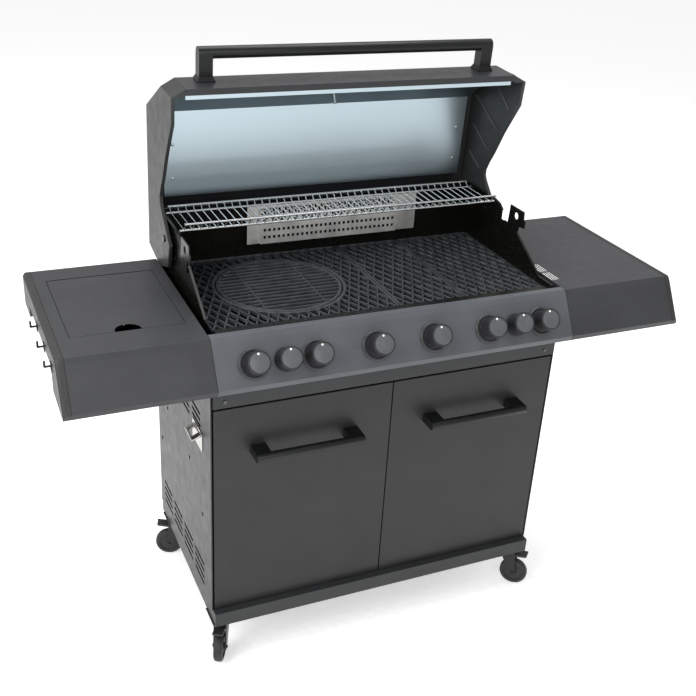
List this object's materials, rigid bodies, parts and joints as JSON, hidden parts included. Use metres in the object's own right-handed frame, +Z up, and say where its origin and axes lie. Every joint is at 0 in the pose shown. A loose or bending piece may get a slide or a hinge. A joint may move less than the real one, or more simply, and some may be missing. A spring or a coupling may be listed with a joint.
{
  "type": "gas barbecue grill",
  "caption": "Cabinet gas grill with an opening lid, two doors, side tables with a flush side burner, control knobs, cast grates, a warming rack and castors.",
  "frame": {"origin": "on the floor, under the middle of the box round the grill with its lid open", "axes": "+X to the right as seen from the doors, +Y from the doors to the back, +Z up"},
  "size_m": [1.617, 0.6736, 1.4975],
  "materials": {
    "coat_cabinet": "satin powder coat",
    "coat_door": "satin powder coat",
    "coat_panel": "satin powder coat",
    "coat_table": "satin powder coat",
    "cast_cap": "textured satin",
    "lid_coat": "satin enamel",
    "lid_casting": "textured satin",
    "liner_steel": "brushed",
    "handle_coat": "satin black",
    "gauge": "polished",
    "firebox_enamel": "satin enamel",
    "burner_steel": "heat-stained",
    "polished_steel": "polished",
    "valve_brass": "plain",
    "bezel_metal": "satin",
    "knob_plastic": "satin",
    "bowl_enamel": "gloss enamel",
    "cast_black": "rough",
    "grate_iron": "matt enamel",
    "rack_wire": "bright plated",
    "tray_steel": "mill",
    "hook_coat": "satin black",
    "opener_chrome": "polished",
    "zinc": "zinc plated",
    "castor_steel": "satin black",
    "castor_tyre": "matt",
    "brake_plastic": "satin"
  },
  "bodies": {
    "frame": {"base_plate": "coat_cabinet", "side_panel_left": "coat_cabinet", "side_panel_right": "coat_cabinet", "back_panel": "coat_cabinet", "top_rail": "coat_cabinet", "castor_plates": "castor_steel", "firebox_tub": "firebox_enamel", "firebox_ends": "firebox_enamel", "burners": "burner_steel", "flame_tamers": "burner_steel", "gas_manifold": "valve_brass", "rear_burner": "polished_steel", "control_panel": "coat_panel", "knob_bezels": "bezel_metal", "table_left": "coat_table", "table_right": "coat_table", "table_end_caps": "cast_cap", "side_burner_bowl": "bowl_enamel", "side_burner": "cast_black", "tool_hooks": "hook_coat", "bottle_opener": "opener_chrome", "rotisserie_brackets": "firebox_enamel", "fasteners": "zinc"},
    "lid": {"lid_shell": "lid_coat", "lid_cap_left": "lid_casting", "lid_cap_right": "lid_casting", "lid_liner": "liner_steel", "lid_handle": "handle_coat", "lid_thermometer": "gauge"},
    "door_left": {"door_left": "coat_door", "door_handle_left": "handle_coat"},
    "door_right": {"door_right": "coat_door", "door_handle_right": "handle_coat"},
    "side_burner_lid": {"side_burner_lid": "coat_table"},
    "grease_tray": {"grease_tray": "tray_steel"},
    "grate_left": {"grate_left": "grate_iron"},
    "grate_insert": {"grate_insert": "grate_iron"},
    "grate_middle": {"grate_middle": "grate_iron"},
    "grate_right": {"grate_right": "grate_iron"},
    "warming_rack": {"warming_rack": "rack_wire"},
    "knob_1": {"knob_1": "knob_plastic"},
    "knob_2": {"knob_2": "knob_plastic"},
    "knob_3": {"knob_3": "knob_plastic"},
    "knob_4": {"knob_4": "knob_plastic"},
    "knob_5": {"knob_5": "knob_plastic"},
    "knob_6": {"knob_6": "knob_plastic"},
    "knob_7": {"knob_7": "knob_plastic"},
    "knob_8": {"knob_8": "knob_plastic"},
    "castor_front_left": {"castor_fork_front_left": "castor_steel"},
    "wheel_front_left": {"castor_wheel_front_left": "castor_tyre"},
    "brake_front_left": {"castor_brake_front_left": "brake_plastic"},
    "castor_front_right": {"castor_fork_front_right": "castor_steel"},
    "wheel_front_right": {"castor_wheel_front_right": "castor_tyre"},
    "brake_front_right": {"castor_brake_front_right": "brake_plastic"},
    "castor_rear_left": {"castor_fork_rear_left": "castor_steel"},
    "wheel_rear_left": {"castor_wheel_rear_left": "castor_tyre"},
    "brake_rear_left": {"castor_brake_rear_left": "brake_plastic"},
    "castor_rear_right": {"castor_fork_rear_right": "castor_steel"},
    "wheel_rear_right": {"castor_wheel_rear_right": "castor_tyre"},
    "brake_rear_right": {"castor_brake_rear_right": "brake_plastic"}
  },
  "joints": [
    {"name": "lid_hinge", "type": "hinge", "parent": "frame", "child": "lid", "pos_m": [0.0085, 0.15316, 1.027], "axis": [1, 0, 0], "range_deg": [0, 86.5]},
    {"name": "door_left_hinge", "type": "hinge", "parent": "frame", "child": "door_left", "pos_m": [-0.4425, -0.23384, 0.4585], "axis": [0, 0, -1], "range_deg": [0, 110]},
    {"name": "door_right_hinge", "type": "hinge", "parent": "frame", "child": "door_right", "pos_m": [0.4595, -0.23384, 0.4585], "axis": [0, 0, 1], "range_deg": [0, 110]},
    {"name": "side_lid_hinge", "type": "hinge", "parent": "frame", "child": "side_burner_lid", "pos_m": [-0.61565, 0.16266, 0.936], "axis": [-1, 0, 0], "range_deg": [0, 100]},
    {"name": "grease_tray_slide", "type": "slide", "parent": "frame", "child": "grease_tray", "axis": [0, 1, 0], "range_m": [0, 0.35]},
    {"name": "grate_left_lift", "type": "slide", "parent": "frame", "child": "grate_left", "axis": [0, 0, 1], "range_m": [0, 0.03]},
    {"name": "grate_insert_lift", "type": "slide", "parent": "grate_left", "child": "grate_insert", "axis": [0, 0, 1], "range_m": [0, 0.05]},
    {"name": "grate_middle_lift", "type": "slide", "parent": "frame", "child": "grate_middle", "axis": [0, 0, 1], "range_m": [0, 0.03]},
    {"name": "grate_right_lift", "type": "slide", "parent": "frame", "child": "grate_right", "axis": [0, 0, 1], "range_m": [0, 0.03]},
    {"name": "warming_rack_lift", "type": "slide", "parent": "frame", "child": "warming_rack", "axis": [0, 0, 1], "range_m": [0, 0.05]},
    {"name": "knob_1_turn", "type": "hinge", "parent": "frame", "child": "knob_1", "pos_m": [-0.369, -0.28132, 0.8819], "axis": [0, -0.859, 0.512], "range_deg": [0, 130]},
    {"name": "knob_2_turn", "type": "hinge", "parent": "frame", "child": "knob_2", "pos_m": [-0.2935, -0.28132, 0.8819], "axis": [0, -0.859, 0.512], "range_deg": [0, 130]},
    {"name": "knob_3_turn", "type": "hinge", "parent": "frame", "child": "knob_3", "pos_m": [-0.218, -0.28132, 0.8819], "axis": [0, -0.859, 0.512], "range_deg": [0, 130]},
    {"name": "knob_4_turn", "type": "hinge", "parent": "frame", "child": "knob_4", "pos_m": [-0.067, -0.28132, 0.8819], "axis": [0, -0.859, 0.512], "range_deg": [0, 130]},
    {"name": "knob_5_turn", "type": "hinge", "parent": "frame", "child": "knob_5", "pos_m": [0.084, -0.28132, 0.8819], "axis": [0, -0.859, 0.512], "range_deg": [0, 130]},
    {"name": "knob_6_turn", "type": "hinge", "parent": "frame", "child": "knob_6", "pos_m": [0.235, -0.28132, 0.8819], "axis": [0, -0.859, 0.512], "range_deg": [0, 130]},
    {"name": "knob_7_turn", "type": "hinge", "parent": "frame", "child": "knob_7", "pos_m": [0.3105, -0.28132, 0.8819], "axis": [0, -0.859, 0.512], "range_deg": [0, 130]},
    {"name": "knob_8_turn", "type": "hinge", "parent": "frame", "child": "knob_8", "pos_m": [0.386, -0.28132, 0.8819], "axis": [0, -0.859, 0.512], "range_deg": [0, 130]},
    {"name": "castor_front_left_swivel", "type": "hinge", "parent": "frame", "child": "castor_front_left", "pos_m": [-0.4245, -0.21884, 0.112], "axis": [0, 0, 1], "continuous": true},
    {"name": "wheel_front_left_spin", "type": "hinge", "parent": "castor_front_left", "child": "wheel_front_left", "pos_m": [-0.43662, -0.24071, 0.04], "axis": [0.8746, -0.4848, 0], "continuous": true},
    {"name": "castor_front_right_swivel", "type": "hinge", "parent": "frame", "child": "castor_front_right", "pos_m": [0.4415, -0.21884, 0.112], "axis": [0, 0, 1], "continuous": true},
    {"name": "wheel_front_right_spin", "type": "hinge", "parent": "castor_front_right", "child": "wheel_front_right", "pos_m": [0.45918, -0.23652, 0.04], "axis": [0.7071, 0.7071, 0], "continuous": true},
    {"name": "castor_rear_left_swivel", "type": "hinge", "parent": "frame", "child": "castor_rear_left", "pos_m": [-0.4245, 0.22416, 0.112], "axis": [0, 0, 1], "continuous": true},
    {"name": "wheel_rear_left_spin", "type": "hinge", "parent": "castor_rear_left", "child": "wheel_rear_left", "pos_m": [-0.44828, 0.23188, 0.04], "axis": [-0.309, -0.9511, 0], "continuous": true},
    {"name": "castor_rear_right_swivel", "type": "hinge", "parent": "frame", "child": "castor_rear_right", "pos_m": [0.4415, 0.22416, 0.112], "axis": [0, 0, 1], "continuous": true},
    {"name": "wheel_rear_right_spin", "type": "hinge", "parent": "castor_rear_right", "child": "wheel_rear_right", "pos_m": [0.46416, 0.23472, 0.04], "axis": [-0.4226, 0.9063, 0], "continuous": true},
    {"name": "brake_front_left_press", "type": "hinge", "parent": "castor_front_left", "child": "brake_front_left", "pos_m": [-0.4308, -0.23021, 0.1], "axis": [0.8746, -0.4848, 0], "range_deg": [0, 18]},
    {"name": "brake_front_right_press", "type": "hinge", "parent": "castor_front_right", "child": "brake_front_right", "pos_m": [0.45069, -0.22803, 0.1], "axis": [0.7071, 0.7071, 0], "range_deg": [0, 18]},
    {"name": "brake_rear_left_press", "type": "hinge", "parent": "castor_rear_left", "child": "brake_rear_left", "pos_m": [-0.43686, 0.22817, 0.1], "axis": [-0.309, -0.9511, 0], "range_deg": [0, 18]},
    {"name": "brake_rear_right_press", "type": "hinge", "parent": "castor_rear_right", "child": "brake_rear_right", "pos_m": [0.45328, 0.22965, 0.1], "axis": [-0.4226, 0.9063, 0], "range_deg": [0, 18]}
  ]
}
